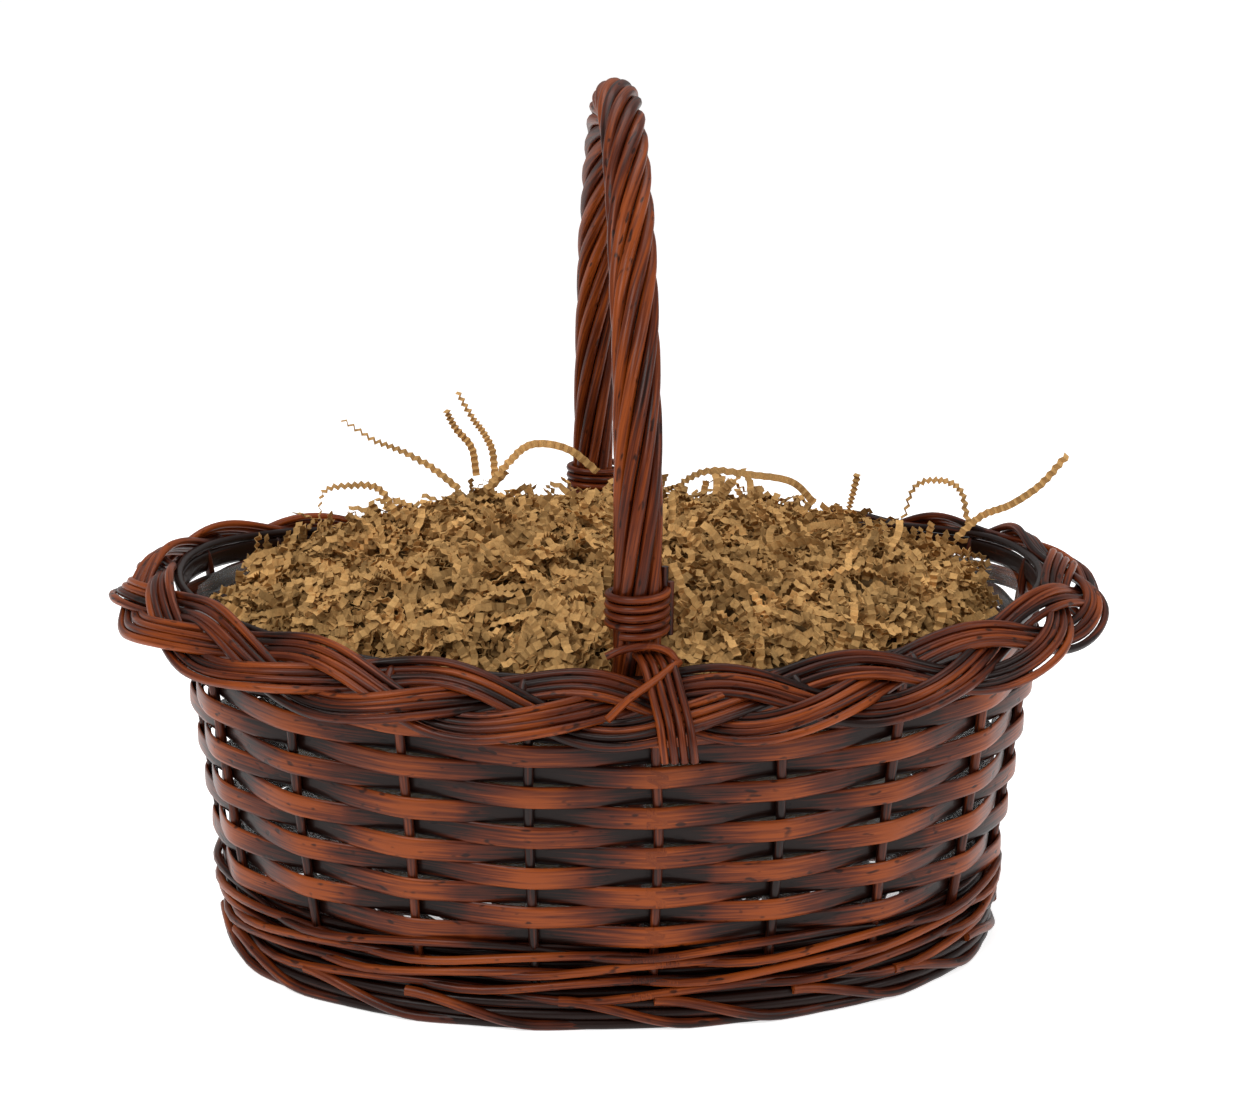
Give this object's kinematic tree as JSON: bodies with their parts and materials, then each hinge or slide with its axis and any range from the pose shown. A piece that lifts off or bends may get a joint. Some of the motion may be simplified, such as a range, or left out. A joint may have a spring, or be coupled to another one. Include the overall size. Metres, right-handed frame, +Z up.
{
  "type": "woven market basket",
  "caption": "Oval stained-willow market basket with split-willow wall, plaited border, roped bow handle, clear liner and crinkle paper fill.",
  "frame": {"origin": "centre of the foot oval, on the ground that the basket stands on", "axes": "+X along the basket's long side, +Y to the rear across the handle's plane, +Z up"},
  "size_m": [0.4296, 0.3272, 0.3666],
  "materials": {
    "base_willow": "stained willow, satin varnish",
    "stake_willow": "stained round willow, satin varnish",
    "split_willow": "stained split willow, glossy varnish",
    "round_willow": "stained round willow, satin varnish",
    "border_willow": "stained round willow, satin varnish",
    "handle_willow": "stained round willow, satin varnish",
    "clear_film": "clear glossy film",
    "kraft_paper": "matte kraft paper, crinkle cut"
  },
  "bodies": {
    "root": {"base_cross_sticks": "base_willow", "base_long_sticks": "base_willow", "base_weave_lower": "base_willow", "base_weave_upper": "base_willow", "border_plait_1_rod_1": "border_willow", "border_plait_1_rod_2": "border_willow", "border_plait_1_rod_3": "border_willow", "border_plait_1_rod_4": "border_willow", "border_plait_2_rod_1": "border_willow", "border_plait_2_rod_2": "border_willow", "border_plait_2_rod_3": "border_willow", "border_plait_2_rod_4": "border_willow", "border_plait_3_rod_1": "border_willow", "border_plait_3_rod_2": "border_willow", "border_plait_3_rod_3": "border_willow", "border_plait_3_rod_4": "border_willow", "foot_border_rod_1": "round_willow", "foot_border_rod_2": "round_willow", "foot_border_rod_3": "round_willow", "front_lashing": "handle_willow", "handle_bow": "handle_willow", "handle_roping_rods": "handle_willow", "liner_film": "clear_film", "paper_fill": "kraft_paper", "rear_lashing": "handle_willow", "side_stake_01": "stake_willow", "side_stake_02": "stake_willow", "side_stake_03": "stake_willow", "side_stake_04": "stake_willow", "side_stake_05": "stake_willow", "side_stake_06": "stake_willow", "side_stake_07": "stake_willow", "side_stake_08": "stake_willow", "side_stake_09": "stake_willow", "side_stake_10": "stake_willow", "side_stake_11": "stake_willow", "side_stake_12": "stake_willow", "side_stake_13": "stake_willow", "side_stake_14": "stake_willow", "side_stake_15": "stake_willow", "side_stake_16": "stake_willow", "side_stake_17": "stake_willow", "side_stake_18": "stake_willow", "side_stake_19": "stake_willow", "side_stake_20": "stake_willow", "upset_wale_rod_1": "round_willow", "upset_wale_rod_2": "round_willow", "upset_wale_rod_3": "round_willow", "weave_row_01": "split_willow", "weave_row_02": "split_willow", "weave_row_03": "split_willow", "weave_row_04": "split_willow", "weave_row_05": "split_willow", "weave_row_06": "split_willow", "weave_row_07": "split_willow", "weave_row_08": "split_willow", "weave_row_09": "split_willow", "weave_row_10": "split_willow", "weave_row_11": "split_willow", "weave_row_12": "split_willow"}
  },
  "joints": []
}
